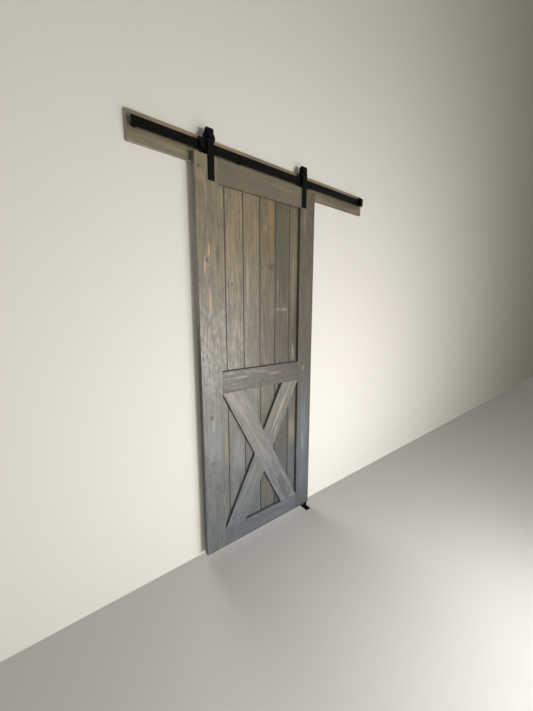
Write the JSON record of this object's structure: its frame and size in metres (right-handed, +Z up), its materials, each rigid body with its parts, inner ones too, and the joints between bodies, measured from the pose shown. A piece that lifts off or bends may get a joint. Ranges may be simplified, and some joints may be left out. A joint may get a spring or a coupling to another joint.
{
  "type": "sliding barn door",
  "caption": "Sliding plank barn door with a lower X brace, hung by hooked straps and grooved wheels from a flat rail on a header board, with stops and a floor guide",
  "frame": {"origin": "The middle of the header board's back face, where it meets the wall", "axes": "+X runs to the right along the wall for someone facing the door, +Y goes into the wall, +Z is up. The finished floor is at z = -2.2365 m"},
  "size_m": [1.64, 0.1025, 2.3308],
  "materials": {
    "header": "grey-brown stain, low sheen, knots and grain showing",
    "frame": "grey-brown stain, low sheen, knots and grain showing",
    "planks": "grey-brown stain, low sheen, knots and grain showing",
    "black_steel": "matt black powder coat",
    "black_fasteners": "black oxide",
    "bearing_steel": "ground",
    "bumper_rubber": "matt"
  },
  "bodies": {
    "fixed_parts": {"header_board": "header", "flat_rail": "black_steel", "rail_spacers": "black_steel", "rail_bolts": "black_fasteners", "stop_left": "black_steel", "stop_right": "black_steel", "stop_bumper_left": "bumper_rubber", "stop_bumper_right": "bumper_rubber", "stop_set_screws": "black_fasteners", "guide_base": "black_steel", "guide_bracket": "black_steel", "guide_screw": "black_fasteners"},
    "door": {"antijump_discs": "black_steel", "antijump_screws": "black_fasteners", "axle_bolts": "black_fasteners", "axle_nuts": "black_fasteners", "axle_sleeves": "bearing_steel", "bottom_rail": "frame", "brace_long": "frame", "brace_lower": "frame", "brace_upper": "frame", "hanger_left": "black_steel", "hanger_right": "black_steel", "left_stile": "frame", "mid_rail": "frame", "plank_1": "planks", "plank_2": "planks", "plank_3": "planks", "plank_4": "planks", "plank_5": "planks", "plank_6": "planks", "plank_7": "planks", "plank_8": "planks", "right_stile": "frame", "strap_lag_screws": "black_fasteners", "top_rail": "frame"},
    "left_wheel": {"wheel_left": "black_steel", "bearing_left": "bearing_steel"},
    "right_wheel": {"wheel_right": "black_steel", "bearing_right": "bearing_steel"}
  },
  "joints": [
    {"name": "door_slide", "type": "slide", "parent": "fixed_parts", "child": "door", "axis": [1, 0, 0], "range_m": [0, 0.526]},
    {"name": "wheel_left_spin", "type": "hinge", "parent": "door", "child": "left_wheel", "pos_m": [-0.4495, -0.05, 0.0513], "axis": [0, 1, 0], "continuous": true},
    {"name": "wheel_right_spin", "type": "hinge", "parent": "door", "child": "right_wheel", "pos_m": [0.1854, -0.05, 0.0513], "axis": [0, 1, 0], "continuous": true}
  ],
  "couplings": [
    {"joint": "wheel_left_spin", "follows": "door_slide", "rad_per_m": 39.216},
    {"joint": "wheel_right_spin", "follows": "door_slide", "rad_per_m": 39.216}
  ]
}
